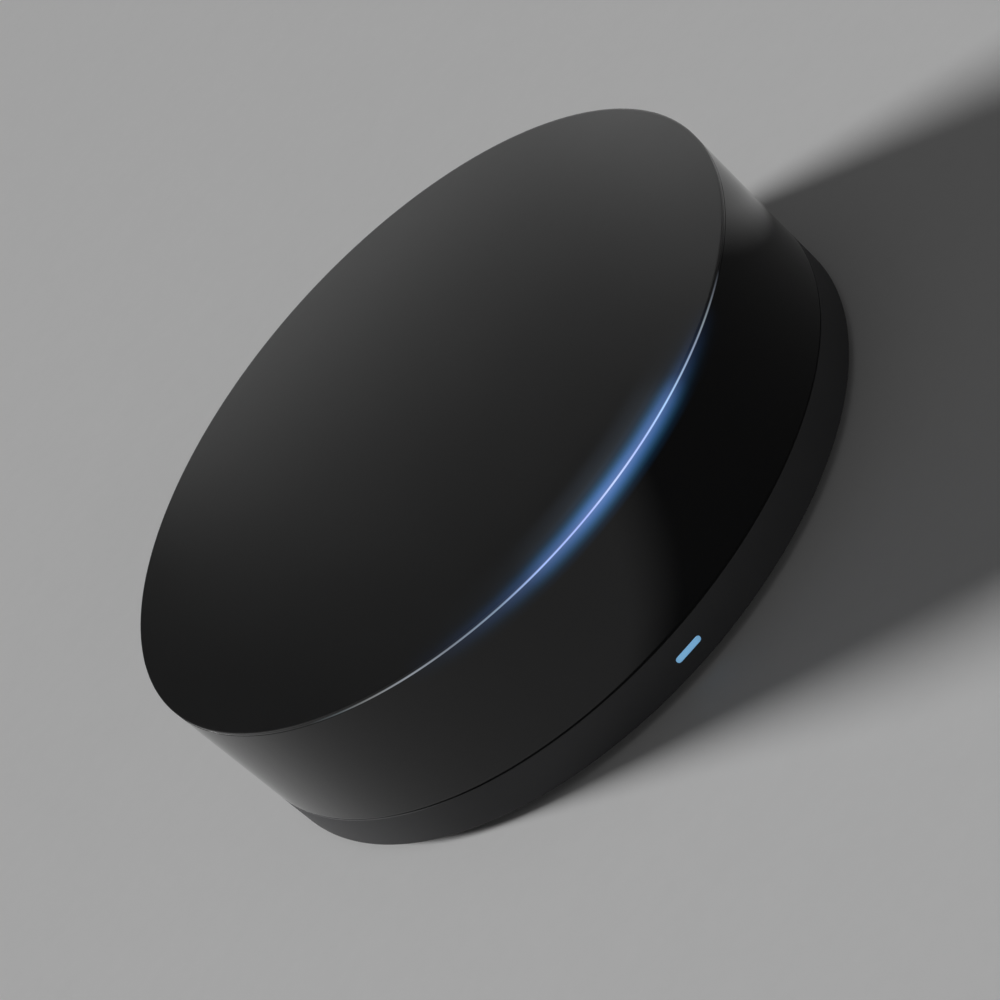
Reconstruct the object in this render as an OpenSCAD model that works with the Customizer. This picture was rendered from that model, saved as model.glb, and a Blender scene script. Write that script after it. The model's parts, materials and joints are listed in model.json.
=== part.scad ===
// Round infrared remote-control hub: a matt lid, a line of light, a glossy
// infrared-clear band and a matt base, with the electronics on one round board.
// The base's middle is at x = 0, y = 0, its feet stand on z = 0, and the front,
// where the status light is, faces -Y. The power socket is at the back, at +Y.

/* [Case] */
// Outer diameter of the lid, the band and the base
case_d = 107; // [101:0.5:120]
// Thickness of the side wall of the base and of the band
wall = 2; // [1.8:0.1:2.4]
// Thickness of the base's floor
floor_t = 2.2; // [2:0.1:2.8]
// Height of the base's side, from its lower edge to the shadow gap
base_side_h = 6.5; // [6.2:0.1:8]
// Radius of the base's lower edge
base_edge_round = 0.5; // [0.2:0.1:0.9]
// Height of the shadow gap between the base and the band
shadow_gap_h = 0.25; // [0.15:0.05:0.5]
// Height of the glossy band
band_h = 20.45; // [18:0.05:26]

/* [Lid] */
// Height of the lid's outer edge
lid_edge_h = 0.35; // [0.3:0.05:0.8]
// Radius of the lid's upper edge
lid_edge_round = 0.3; // [0.1:0.05:0.3]
// How far the lid's middle stands above its edge
lid_rise = 0.7; // [0.4:0.1:1.4]
// Thickness of the lid at its middle
lid_t = 2; // [1.8:0.1:2.4]
// Height of the skirt that centres the lid
skirt_h = 3.2; // [2.6:0.1:4.5]
// Thickness of the lid's skirt
skirt_t = 1.4; // [1:0.1:1.8]

/* [Light guide] */
// Height of the line of light between the band and the lid
light_line_h = 0.35; // [0.25:0.05:0.6]
// Thickness of the guide's sleeve inside the band
sleeve_t = 1.2; // [1:0.1:1.5]
// Height of the guide's sleeve below the band's upper edge
sleeve_h = 2; // [1.5:0.1:3]
// Azimuth of the guide's middle leg, from the front to the right
leg_middle_angle = 9; // [7:0.5:11]
// Angle between the guide's legs
leg_step_angle = 24; // [23:0.5:25]
// Angle that one leg takes up
leg_width_angle = 8; // [6:0.5:9]

/* [Feet and screws] */
// How far the rubber foot ring stands below the base
foot_proud = 1.2; // [0.8:0.1:1.6]
// Depth of the groove that holds the foot ring
foot_groove_depth = 0.8; // [0.5:0.1:1]
// Width of the foot ring
foot_w = 5.5; // [5.3:0.1:7]
// Distance from the wall's inner face to the circle of case screws, under the foot ring
screw_inset = 5.25; // [5:0.05:6.5]
// Number of case screws
case_screw_count = 4; // [4:4]
// Diameter of the case screws' thread
case_screw_d = 2.6; // [2.2:0.1:3]
// Length of the case screws' thread
case_screw_l = 8; // [6:0.5:12]
// Diameter of the board screws' thread
board_screw_d = 2; // [1.6:0.1:2.4]
// Length of the board screws' thread
board_screw_l = 5; // [4.2:0.1:5]

/* [Board] */
// Thickness of the circuit board
board_t = 1.6; // [1:0.1:2]
// Room between the base's floor and the board
board_rise = 2.9; // [2.8:0.1:3.4]
// Gap between the board's edge and the base's wall
board_gap = 0.7; // [0.4:0.1:1]

/* [Infrared parts] */
// Number of infrared emitters round the board
emitter_count = 6; // [6:6]
// Diameter of an emitter's lens
emitter_d = 5; // [3:0.1:5.4]
// Length of an emitter from its flange to its tip
emitter_l = 8.6; // [7:0.1:9.5]
// Height of an emitter's axis above the board
emitter_rise = 5; // [4:0.1:8]
// Distance from the board's edge to an emitter's tip
emitter_setback = 3.8; // [3:0.1:5]
// Width of the infrared receiver
receiver_w = 6; // [5:0.1:7]
// Height of the infrared receiver above its legs
receiver_h = 7; // [5:0.1:9]

/* [Status light] */
// Length of the lit slot
status_w = 4.4; // [3:0.1:5.4]
// Height of the lit slot
status_h = 0.95; // [0.6:0.05:1.3]
// Height of the slot's middle above the base's lower edge
status_rise = 3.1; // [3:0.05:3.4]

/* [Power socket] */
// Width of the socket's metal shell
socket_w = 7.5; // [7:0.1:8.2]
// Height of the socket's metal shell
socket_h = 2.45; // [2.2:0.05:2.55]
// Length of the socket's metal shell
socket_l = 5.6; // [5:0.1:6.5]
// Distance from the case's outer face to the socket's mouth
socket_inset = 0.6; // [0.4:0.1:1]

/* [Reset button] */
// Distance from the middle of the power socket to the reset button
reset_x = 10; // [9:0.5:11]
// Diameter of the hole that a pin goes through to press it
pinhole_d = 1.5; // [1:0.1:1.8]
// Travel of the reset plunger
reset_travel = 0.25; // [0.15:0.05:0.35]
// Width of the reset switch
reset_w = 4.7; // [4.4:0.1:5.2]
// Depth of the reset switch, from its front to its back
reset_depth = 3; // [2.8:0.1:3.6]

/* [Radio module] */
// Width of the radio module's own board
radio_w = 16; // [15:0.5:18]
// Length of the radio module's own board
radio_l = 24; // [23:0.5:26]
// Height of the metal can over the radio's chips
can_h = 2.2; // [1.9:0.1:3]

/* [Hidden] */

$fn = 96;
// Overrun of every cut past the face that it leaves by
cut = 0.5;

// Radii of the case
case_r = case_d / 2;
inner_r = case_r - wall;
// The base's lip is the inner part of its wall, and the band's lower end is cut away round it
lip_t = 0.9;
lip_h = 2;
lip_gap = 0.1;
lip_r = inner_r + lip_t;
rebate_r = lip_r + lip_gap;

// Heights, from the feet up
base_z = foot_proud;
floor_z = base_z + floor_t;
base_top_z = base_z + base_side_h;
band_z = base_top_z + shadow_gap_h;
lip_top_z = base_top_z + lip_h;
band_top_z = band_z + band_h;
lid_z = band_top_z + light_line_h;
rim_z = lid_z + lid_edge_h;
crown_z = rim_z + lid_rise;
board_z = floor_z + board_rise;
board_top_z = board_z + board_t;

// Light guide
sleeve_gap = 0.15;
line_inset = 0.05;
sleeve_r = inner_r - sleeve_gap;
guide_in_r = sleeve_r - sleeve_t;
sleeve_z = band_top_z - sleeve_h;
leg_inset = 0.1;
leg_foot_h = 1.9;
leg_angles = [for (i = [-1:1]) leg_middle_angle + i * leg_step_angle];

// Lid
skirt_gap = 0.15;
skirt_r = guide_in_r - skirt_gap;
skirt_z = lid_z - skirt_h;
plate_z = crown_z - lid_t;
dome_r = (pow(case_r - lid_edge_round, 2) + pow(lid_rise, 2)) / (2 * lid_rise);
dome_steps = 12;
round_steps = 4;

// Feet and case screws
foot_gap = 0.1;
foot_edge = 0.3;
screw_circle_r = inner_r - screw_inset;
foot_out_r = screw_circle_r + foot_w / 2;
foot_in_r = screw_circle_r - foot_w / 2;
groove_z = base_z + foot_groove_depth;
screw_first_angle = 45;
screw_angles = [for (i = [0:case_screw_count - 1]) screw_first_angle + i * 360 / case_screw_count];
case_head_d = 4.2;
case_head_h = 1.3;
head_gap = 0.25;
screw_gap = 0.05;
shank_gap = 0.2;
screw_seat_t = 1.7;
screw_boss_wall = 1.25;
screw_boss_z = groove_z + case_head_h + screw_seat_t;
post_wall = 1.25;
post_r = case_screw_d / 2 + screw_gap + post_wall;
post_hole_spare = 1;
cross_share = 0.62;
cross_width_share = 0.16;
cross_depth_share = 0.5;

// Shallow recess in the middle of the underside
recess_d = 60;
recess_depth = 0.3;

// Board screws
board_head_d = 3.8;
board_head_h = 1.2;
board_boss_wall = 1.6;
board_screw_first_angle = 15;
board_screw_count = 4;
board_screw_r_share = 0.59;
board_screw_angles =
    [for (i = [0:board_screw_count - 1]) board_screw_first_angle + i * 360 / board_screw_count];
board_hole_spare = 0.2;
board_r = inner_r - board_gap;
board_screw_r = board_screw_r_share * board_r;
post_clear = 0.4;

// Light sources under the guide's legs
ring_led_depth = 2;
ring_led_w = 3;
ring_led_h = 0.9;
ring_led_edge_gap = 0.4;
ring_led_lens_share = 0.7;
ring_led_lens_depth = 0.15;
leg_gap = 0.3;
ring_led_out_r = board_r - ring_led_edge_gap;
leg_foot_r = ring_led_out_r - ring_led_depth;
leg_z = board_top_z + ring_led_h + leg_gap;

// Infrared emitters
emitter_first_angle = -3;
emitter_angles = [for (i = [0:emitter_count - 1]) emitter_first_angle + i * 360 / emitter_count];
emitter_flange_w = 0.4;
emitter_flange_t = 1;
emitter_flat_cut = 0.2;
lead_t = 0.5;
lead_pitch = 2.54;
lead_stub = 1.6;
lead_below = 1;
lead_gap = 0.15;
emitter_tip_r = board_r - emitter_setback;
emitter_back_r = emitter_tip_r - emitter_l;
lead_r = emitter_back_r - lead_stub;

// Infrared receiver
receiver_angle = -33;
receiver_depth = 4;
receiver_lens_r = 2.4;
receiver_lens_sink = 0.6;
receiver_stand = 1.2;
receiver_setback = 9;
receiver_edge_share = 0.12;
receiver_r = board_r - receiver_setback;

// Status light
window_gap = 0.05;
window_inset = 0.05;
window_flange_w = 6.4;
window_flange_h = 2.1;
window_flange_t = 0.8;
window_flange_gap = 0.15;
status_z = base_z + status_rise;
window_start_y = -case_r - cut;
window_flange_z = floor_z + 2 * window_gap;
window_flange_y = inner_r - window_flange_gap;
status_led_w = 3;
status_led_depth = 1.2;
status_led_h = 2.1;
status_led_gap = 0.35;
status_led_y = window_flange_y - window_flange_t - status_led_gap - status_led_depth;

// Power socket
socket_sheet = 0.25;
socket_corner = 0.75;
socket_mouth_gap = 0.3;
socket_mouth_round = 0.6;
socket_mouth_y = case_r - socket_inset;
socket_back_y = socket_mouth_y - socket_l;
socket_z = board_z - socket_h / 2;
insert_gap = 0.03;
insert_block_l = 1.6;
tongue_w = 3.7;
tongue_t = 0.6;
tongue_setback = 0.8;
tongue_rise = 0.25;
contact_count = 5;
contact_pitch = 0.65;
contact_w = 0.3;
contact_t = 0.1;
contact_setback = 0.3;

// Reset switch, under the board, with its plunger towards the back
reset_h = 1.9;
reset_wall = 0.55;
reset_roof = 0.7;
reset_cover_t = 0.15;
plunger_w = 1.9;
plunger_h = 1;
plunger_reach = 0.9;
plunger_collar_w = 2.8;
plunger_collar_l = 0.6;
plunger_gap = 0.06;
reset_spare = 0.15;
reset_edge_gap = 1.9;
clip_w = 1.2;
clip_h = 0.9;
reset_back_y = board_r - reset_edge_gap - wall_sag(board_r, reset_x);
reset_front_y = reset_back_y - reset_depth;
reset_low_z = board_z - reset_h;
plunger_z = reset_low_z + plunger_gap + plunger_h / 2;
pinhole_y = inner_r - wall_sag(inner_r, reset_x + pinhole_d);

// Radio module; its place is a share of the board's radius
radio_t = 0.8;
radio_place_shares = [-0.26, 0.18];
can_margin = 0.5;
can_sheet = 0.2;
can_l_share = 0.7;
can_w = radio_w - 2 * can_margin;
can_l = can_l_share * radio_l;
can_y = (can_l - radio_l) / 2 + can_margin;
chip_t = 0.8;
processor_w = 6;
flash_w = 4;
flash_l = 5;
crystal_w = 2.5;
crystal_l = 2;
crystal_h = 0.6;
processor_place_shares = [0.16, 0.2];
flash_place_shares = [-0.26, 0.2];
crystal_place_shares = [0.2, -0.2];
antenna_w = 7;
antenna_l = 2;
antenna_h = 1;

// Power and drive parts; their places are shares of the board's radius
regulator_w = 6.5;
regulator_l = 3.5;
regulator_h = 1.6;
regulator_tab_l = 1.7;
regulator_tab_w = 3;
regulator_leg_w = 0.7;
regulator_leg_pitch = 2.3;
regulator_leg_count = 3;
leg_t = 0.25;
regulator_place_shares = [0.26, 0.52];
inductor_w = 4;
inductor_h = 2;
inductor_pad_w = 0.8;
inductor_place_shares = [0.44, 0.36];
bulk_d = 6.3;
bulk_h = 5.4;
bulk_base_w = 6.6;
bulk_base_h = 0.9;
bulk_base_chamfer = 1;
bulk_round = 0.4;
bulk_place_shares = [[0.30, -0.12], [0.30, 0.12]];
transistor_w = 2.9;
transistor_l = 1.3;
transistor_h = 1;
transistor_span = 2.4;
transistor_leg_w = 0.4;
transistor_leg_pitch = 0.95;
transistor_r_share = 0.74;
transistor_angles = [66, 147, 267];
surge_place_shares = [-0.2, 0.84];

// Small chip parts
resistor_l = 2;
resistor_w = 1.25;
resistor_h = 0.55;
resistor_gap = 1.8;
capacitor_l = 1.6;
capacitor_w = 0.8;
capacitor_h = 0.8;
capacitor_count = 6;
capacitor_x_share = 0.06;
capacitor_first_share = -0.24;
capacitor_step_share = 0.1;

lid_colour = "#2b2b2d";
band_colour = "#08080a";
base_colour = "#222224";
glow_colour = "#8fb8ff";
rubber_colour = "#161616";
steel_colour = "#b9bcc0";
board_colour = "#14301f";
chip_colour = "#18181a";
gold_colour = "#c9a24a";
white_colour = "#e8e8e2";

// How far a wall of radius r has curved back, at x to the side of its middle
function wall_sag(r, x) = r - sqrt(pow(r, 2) - pow(x, 2));
// Points on an arc round a centre
function arc(centre, r, from, to) =
    [for (i = [0:round_steps]) let (a = from + (to - from) * i / round_steps)
        centre + r * [cos(a), sin(a)]];
// A place on the board from two shares of its radius
function on_board(shares) = [shares[0] * board_r, shares[1] * board_r, board_top_z];
// A place under the radio module's can, from shares of the can's sides
function in_can(shares) =
    on_board(radio_place_shares) + [shares[0] * can_w, can_y + shares[1] * can_l, radio_t];

// Puts its children at a radius and an azimuth, with +X outwards
module at_azimuth(angle, radius = 0) {
    rotate([0, 0, angle - 90])
        translate([radius, 0, 0])
            children();
}

// A ring from its inner and outer radius and its two heights
module ring(r_in, r_out, z_low, z_high) {
    rotate_extrude()
        translate([r_in, z_low])
            square([r_out - r_in, z_high - z_low]);
}

// A box that stands on its place, centred in x and y
module block(size) {
    translate([-size[0] / 2, -size[1] / 2, 0])
        cube(size);
}

// A rounded bar along +Y, centred on its place
module rounded_bar(w, h, r, l) {
    rotate([-90, 0, 0])
        linear_extrude(l)
            union() {
                square([w - 2 * r, h], center = true);
                if (h > 2 * r)
                    square([w, h - 2 * r], center = true);
                for (sx = [-1, 1], sy = [-1, 1])
                    translate([sx * (w / 2 - r), sy * (h / 2 - r)])
                        circle(r);
            }
}

// A screw that points up, with its head's bearing face at its place
module screw(head_d, head_h, thread_d, thread_l) {
    difference() {
        union() {
            translate([0, 0, -head_h])
                cylinder(d = head_d, h = head_h);
            cylinder(d = thread_d, h = thread_l);
        }
        for (turn = [0, 90])
            rotate([0, 0, turn])
                translate([0, 0, -head_h - cut])
                    block([cross_share * head_d, cross_width_share * head_d,
                        cross_depth_share * head_h + cut]);
    }
}

module top_cover() {
    dome = [for (i = [0:dome_steps]) let (x = (case_r - lid_edge_round) * i / dome_steps)
        [x, rim_z + lid_rise - dome_r + sqrt(pow(dome_r, 2) - pow(x, 2))]];
    edge = arc([case_r - lid_edge_round, rim_z - lid_edge_round], lid_edge_round, 90, 0);
    under = [[case_r, lid_z], [skirt_r, lid_z], [skirt_r, skirt_z],
        [skirt_r - skirt_t, skirt_z], [skirt_r - skirt_t, plate_z], [0, plate_z]];
    color(lid_colour)
        difference() {
            union() {
                rotate_extrude()
                    polygon(concat(dome, [for (i = [1:round_steps]) edge[i]], under));
                for (a = screw_angles)
                    at_azimuth(a, screw_circle_r)
                        translate([0, 0, screw_boss_z])
                            cylinder(r = post_r, h = plate_z - screw_boss_z + cut);
            }
            for (a = screw_angles)
                at_azimuth(a, screw_circle_r)
                    translate([0, 0, screw_boss_z - cut])
                        cylinder(d = case_screw_d + 2 * screw_gap,
                            h = case_screw_l - screw_seat_t + post_hole_spare + cut);
        }
}

module light_guide_ring() {
    leg_out_r = sleeve_r - leg_inset;
    leg_in_r = guide_in_r + leg_inset;
    leg = [[leg_foot_r, leg_z], [leg_out_r, leg_z], [leg_out_r, sleeve_z + cut],
        [leg_in_r, sleeve_z + cut], [leg_in_r, leg_z + leg_foot_h], [leg_foot_r, leg_z + leg_foot_h]];
    color(glow_colour)
        union() {
            ring(guide_in_r, case_r - line_inset, band_top_z, lid_z);
            ring(guide_in_r, sleeve_r, sleeve_z, band_top_z);
            for (a = leg_angles)
                at_azimuth(a - leg_width_angle / 2)
                    rotate_extrude(angle = leg_width_angle)
                        polygon(leg);
        }
}

module ir_window_band() {
    color(band_colour)
        rotate_extrude()
            polygon([[rebate_r, band_z], [case_r, band_z], [case_r, band_top_z],
                [inner_r, band_top_z], [inner_r, lip_top_z], [rebate_r, lip_top_z]]);
}

module base_shell() {
    edge = arc([case_r - base_edge_round, base_z + base_edge_round], base_edge_round, -90, 0);
    color(base_colour)
        difference() {
            union() {
                rotate_extrude()
                    polygon(concat([[0, base_z]], edge, [[case_r, base_top_z], [lip_r, base_top_z],
                        [lip_r, lip_top_z], [inner_r, lip_top_z], [inner_r, floor_z], [0, floor_z]]));
                for (a = screw_angles)
                    at_azimuth(a, screw_circle_r)
                        translate([0, 0, groove_z])
                            cylinder(r = case_head_d / 2 + head_gap + screw_boss_wall,
                                h = screw_boss_z - groove_z);
                for (a = board_screw_angles)
                    at_azimuth(a, board_screw_r)
                        translate([0, 0, base_z + recess_depth])
                            cylinder(r = board_screw_d / 2 + board_boss_wall,
                                h = board_z - base_z - recess_depth);
            }
            ring(foot_in_r - foot_gap, foot_out_r + foot_gap, base_z - cut, groove_z);
            translate([0, 0, base_z - cut])
                cylinder(d = recess_d, h = recess_depth + cut);
            for (a = screw_angles)
                at_azimuth(a, screw_circle_r) {
                    translate([0, 0, base_z - cut])
                        cylinder(r = case_head_d / 2 + head_gap, h = foot_groove_depth + case_head_h + cut);
                    translate([0, 0, base_z])
                        cylinder(r = case_screw_d / 2 + shank_gap, h = screw_boss_z - base_z + cut);
                }
            for (a = board_screw_angles)
                at_azimuth(a, board_screw_r)
                    translate([0, 0, board_top_z - board_screw_l - board_hole_spare])
                        cylinder(r = board_screw_d / 2 + screw_gap, h = board_screw_l);
            translate([0, window_start_y, status_z])
                rounded_bar(status_w + 2 * window_gap, status_h + 2 * window_gap,
                    status_h / 2 + window_gap, wall + 2 * cut);
            translate([0, inner_r - cut, socket_z])
                rounded_bar(socket_w + 2 * socket_mouth_gap, socket_h + 2 * socket_mouth_gap,
                    socket_mouth_round, wall + 2 * cut);
            translate([reset_x, pinhole_y - cut, plunger_z])
                rotate([-90, 0, 0])
                    cylinder(d = pinhole_d, h = case_r - pinhole_y + 2 * cut);
        }
}

module foot_ring() {
    low = [[foot_in_r, groove_z], [foot_in_r, foot_edge], [foot_in_r + foot_edge, 0]];
    high = [[foot_out_r - foot_edge, 0], [foot_out_r, foot_edge], [foot_out_r, groove_z]];
    color(rubber_colour)
        rotate_extrude()
            polygon(concat(low, high));
}

module status_window() {
    color(glow_colour)
        union() {
            intersection() {
                translate([0, window_start_y, status_z])
                    rounded_bar(status_w, status_h, status_h / 2,
                        case_r - window_flange_y + window_flange_t / 2 + cut);
                cylinder(r = case_r - window_inset, h = base_top_z);
            }
            translate([0, -window_flange_y + window_flange_t / 2, window_flange_z])
                block([window_flange_w, window_flange_t, window_flange_h]);
        }
}

module case_screws() {
    color(steel_colour)
        for (a = screw_angles)
            at_azimuth(a, screw_circle_r)
                translate([0, 0, groove_z + case_head_h])
                    screw(case_head_d, case_head_h, case_screw_d, case_screw_l);
}

module board_screws() {
    color(steel_colour)
        for (a = board_screw_angles)
            at_azimuth(a, board_screw_r)
                translate([0, 0, board_top_z])
                    mirror([0, 0, 1])
                        screw(board_head_d, board_head_h, board_screw_d, board_screw_l);
}

module main_board() {
    color(board_colour)
        difference() {
            translate([0, 0, board_z])
                cylinder(r = board_r, h = board_t);
            for (a = screw_angles)
                at_azimuth(a, screw_circle_r)
                    board_hole(post_r + post_clear);
            for (a = board_screw_angles)
                at_azimuth(a, board_screw_r)
                    board_hole(board_screw_d / 2 + shank_gap);
            for (a = emitter_angles, side = [-1, 1])
                at_azimuth(a, lead_r)
                    translate([0, side * lead_pitch / 2, 0])
                        board_hole(lead_t / 2 + lead_gap);
            for (side = [-1:1])
                at_azimuth(receiver_angle, receiver_r)
                    translate([0, side * lead_pitch, 0])
                        board_hole(lead_t / 2 + lead_gap);
        }
}

// A round hole through the board
module board_hole(r) {
    translate([0, 0, board_z - cut])
        cylinder(r = r, h = board_t + 2 * cut);
}

// A square-cut lead from a height above the board to just below it
module lead(top_z) {
    translate([0, 0, board_z - lead_below])
        block([lead_t / sqrt(2), lead_t / sqrt(2), top_z - board_z + lead_below]);
}

module ir_emitter(i) {
    r = emitter_d / 2;
    flange_r = r + emitter_flange_w;
    axis_z = board_top_z + emitter_rise;
    stub = lead_t / sqrt(2);
    color(band_colour)
        at_azimuth(emitter_angles[i - 1])
            union() {
                translate([emitter_back_r, 0, axis_z])
                    rotate([0, 90, 0])
                        cylinder(r = r, h = emitter_l - r);
                translate([emitter_tip_r - r, 0, axis_z])
                    sphere(r);
                difference() {
                    translate([emitter_back_r, 0, axis_z])
                        rotate([0, 90, 0])
                            cylinder(r = flange_r, h = emitter_flange_t);
                    translate([emitter_back_r - cut, flange_r - emitter_flat_cut, axis_z - flange_r])
                        cube([emitter_flange_t + 2 * cut, flange_r, 2 * flange_r]);
                }
                for (side = [-1, 1])
                    translate([lead_r, side * lead_pitch / 2, 0]) {
                        lead(axis_z + stub / 2);
                        translate([0, -stub / 2, axis_z - stub / 2])
                            cube([lead_stub + emitter_flange_t / 2, stub, stub]);
                    }
            }
}

module ir_receiver() {
    low_z = board_top_z + receiver_stand;
    edge = receiver_edge_share * receiver_w;
    d = receiver_depth / 2;
    w = receiver_w / 2;
    color(band_colour)
        at_azimuth(receiver_angle, receiver_r)
            union() {
                translate([0, 0, low_z])
                    linear_extrude(receiver_h)
                        polygon([[-d, -w], [d - edge, -w], [d, edge - w],
                            [d, w - edge], [d - edge, w], [-d, w]]);
                translate([d - receiver_lens_sink, 0, low_z + receiver_h / 2])
                    sphere(receiver_lens_r);
                for (side = [-1:1])
                    translate([0, side * lead_pitch, 0])
                        lead(low_z + receiver_stand / 2);
            }
}

module ring_led(i) {
    color(white_colour)
        at_azimuth(leg_angles[i - 1], ring_led_out_r - ring_led_depth / 2)
            translate([0, 0, board_top_z])
                difference() {
                    block([ring_led_depth, ring_led_w, ring_led_h]);
                    translate([0, 0, ring_led_h - ring_led_lens_depth])
                        cylinder(d = ring_led_lens_share * ring_led_depth, h = ring_led_lens_depth + cut);
                }
}

module status_led() {
    color(white_colour)
        translate([0, -status_led_y - status_led_depth / 2, board_z - status_led_h])
            difference() {
                block([status_led_w, status_led_depth, status_led_h]);
                translate([0, -status_led_depth / 2, status_led_h / 2])
                    rotate([90, 0, 0])
                        cylinder(d = ring_led_lens_share * status_led_h, h = 2 * ring_led_lens_depth,
                            center = true);
            }
}

// Outline of the socket's shell, drawn in by a margin all round
module socket_outline(margin) {
    w = socket_w / 2 - margin;
    h = socket_h / 2 - margin;
    polygon([[-w, -h], [w, -h], [w, h - socket_corner], [w - socket_corner, h],
        [socket_corner - w, h], [-w, h - socket_corner]]);
}

module usb_shell() {
    color(steel_colour)
        translate([0, socket_back_y, socket_z])
            rotate([-90, 0, 0])
                linear_extrude(socket_l)
                    difference() {
                        socket_outline(0);
                        socket_outline(socket_sheet);
                    }
}

module usb_insert() {
    color(chip_colour)
        translate([0, socket_back_y, socket_z])
            union() {
                rotate([-90, 0, 0])
                    linear_extrude(insert_block_l)
                        socket_outline(socket_sheet + insert_gap);
                translate([-tongue_w / 2, 0, tongue_rise - tongue_t / 2])
                    cube([tongue_w, socket_l - tongue_setback, tongue_t]);
            }
}

module usb_contacts() {
    color(gold_colour)
        for (i = [0:contact_count - 1])
            translate([(i - (contact_count - 1) / 2) * contact_pitch - contact_w / 2,
                    socket_back_y + insert_block_l, socket_z + tongue_rise - tongue_t / 2 - contact_t])
                cube([contact_w, socket_l - insert_block_l - tongue_setback - contact_setback, contact_t]);
}

module reset_switch_case() {
    slot_w = plunger_w + 2 * plunger_gap;
    room_w = plunger_collar_w + 2 * plunger_gap;
    room_l = plunger_collar_l + plunger_gap + reset_travel + reset_spare;
    cavity_h = reset_h - reset_roof;
    color(chip_colour)
        translate([reset_x, reset_back_y, reset_low_z])
            difference() {
                translate([0, -reset_depth / 2, 0])
                    block([reset_w, reset_depth, reset_h]);
                translate([-slot_w / 2, -reset_wall - cut, -cut])
                    cube([slot_w, reset_wall + 2 * cut, cavity_h + cut]);
                translate([-room_w / 2, -reset_wall - room_l, -cut])
                    cube([room_w, room_l, cavity_h + cut]);
            }
}

module reset_switch_cover() {
    color(steel_colour)
        translate([reset_x, reset_back_y - reset_depth / 2, reset_low_z - reset_cover_t])
            union() {
                block([reset_w + 2 * reset_cover_t, reset_depth, reset_cover_t]);
                for (side = [-1, 1])
                    translate([side * (reset_w + reset_cover_t) / 2, 0, 0])
                        block([reset_cover_t, clip_w, clip_h + reset_cover_t]);
            }
}

module reset_plunger() {
    low_z = reset_low_z + plunger_gap;
    collar_y = -reset_wall - plunger_gap - plunger_collar_l;
    color(gold_colour)
        translate([reset_x, reset_back_y, low_z])
            union() {
                translate([-plunger_w / 2, collar_y, 0])
                    cube([plunger_w, plunger_reach - collar_y, plunger_h]);
                translate([-plunger_collar_w / 2, collar_y, 0])
                    cube([plunger_collar_w, plunger_collar_l, plunger_h]);
            }
}

module radio_board() {
    color(board_colour)
        translate(on_board(radio_place_shares))
            block([radio_w, radio_l, radio_t]);
}

module radio_shield() {
    color(steel_colour)
        translate(in_can([0, 0]))
            difference() {
                block([can_w, can_l, can_h]);
                translate([0, 0, -cut])
                    block([can_w - 2 * can_sheet, can_l - 2 * can_sheet, can_h - can_sheet + cut]);
            }
}

module processor_chip() {
    color(chip_colour)
        translate(in_can(processor_place_shares))
            block([processor_w, processor_w, chip_t]);
}

module flash_chip() {
    color(chip_colour)
        translate(in_can(flash_place_shares))
            block([flash_w, flash_l, chip_t]);
}

module crystal() {
    color(steel_colour)
        translate(in_can(crystal_place_shares))
            block([crystal_w, crystal_l, crystal_h]);
}

module chip_antenna() {
    color(white_colour)
        translate(on_board(radio_place_shares) + [0, (radio_l - antenna_l) / 2 - can_margin, radio_t])
            block([antenna_w, antenna_l, antenna_h]);
}

module voltage_regulator() {
    middle = (regulator_leg_count - 1) / 2;
    color(chip_colour)
        translate(on_board(regulator_place_shares))
            union() {
                block([regulator_w, regulator_l, regulator_h]);
                translate([0, regulator_l / 2, 0])
                    block([regulator_tab_w, 2 * regulator_tab_l, leg_t]);
                for (i = [0:regulator_leg_count - 1])
                    translate([(i - middle) * regulator_leg_pitch, -regulator_l / 2, 0])
                        block([regulator_leg_w, 2 * regulator_tab_l, leg_t]);
            }
}

module power_inductor() {
    color(chip_colour)
        translate(on_board(inductor_place_shares))
            difference() {
                block([inductor_w, inductor_w, inductor_h]);
                for (side = [-1, 1], end = [-1, 1])
                    translate([side * inductor_w / 2, end * inductor_w / 2, -cut])
                        rotate([0, 0, 45])
                            block([inductor_pad_w, inductor_pad_w, inductor_h + 2 * cut]);
            }
}

module bulk_capacitor(i) {
    w = bulk_base_w / 2;
    can = [[0, bulk_base_h], [bulk_d / 2, bulk_base_h], [bulk_d / 2, bulk_h - bulk_round],
        [bulk_d / 2 - bulk_round, bulk_h], [0, bulk_h]];
    color(steel_colour)
        translate(on_board(bulk_place_shares[i - 1]))
            union() {
                linear_extrude(bulk_base_h)
                    polygon([[-w, -w], [w, -w], [w, w - bulk_base_chamfer], [w - bulk_base_chamfer, w],
                        [bulk_base_chamfer - w, w], [-w, w - bulk_base_chamfer]]);
                rotate_extrude()
                    polygon(can);
            }
}

// A small three-legged part that lies on its place
module small_transistor() {
    union() {
        block([transistor_l, transistor_w, transistor_h]);
        translate([transistor_span / 4, 0, 0])
            block([transistor_span / 2, transistor_leg_w, leg_t]);
        for (side = [-1, 1])
            translate([-transistor_span / 4, side * transistor_leg_pitch, 0])
                block([transistor_span / 2, transistor_leg_w, leg_t]);
    }
}

module driver_transistor(i) {
    color(chip_colour)
        at_azimuth(transistor_angles[i - 1], transistor_r_share * board_r)
            translate([0, 0, board_top_z])
                small_transistor();
}

module surge_diode() {
    color(chip_colour)
        translate(on_board(surge_place_shares))
            small_transistor();
}

module chip_resistors() {
    color(chip_colour)
        for (a = emitter_angles, side = [-1, 1])
            at_azimuth(a, lead_r - resistor_gap - resistor_l / 2)
                translate([0, side * lead_pitch / 2, board_top_z])
                    block([resistor_l, resistor_w, resistor_h]);
}

module chip_capacitors() {
    color(gold_colour)
        for (i = [0:capacitor_count - 1])
            translate(on_board([capacitor_x_share, capacitor_first_share + i * capacitor_step_share]))
                block([capacitor_l, capacitor_w, capacitor_h]);
}

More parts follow.
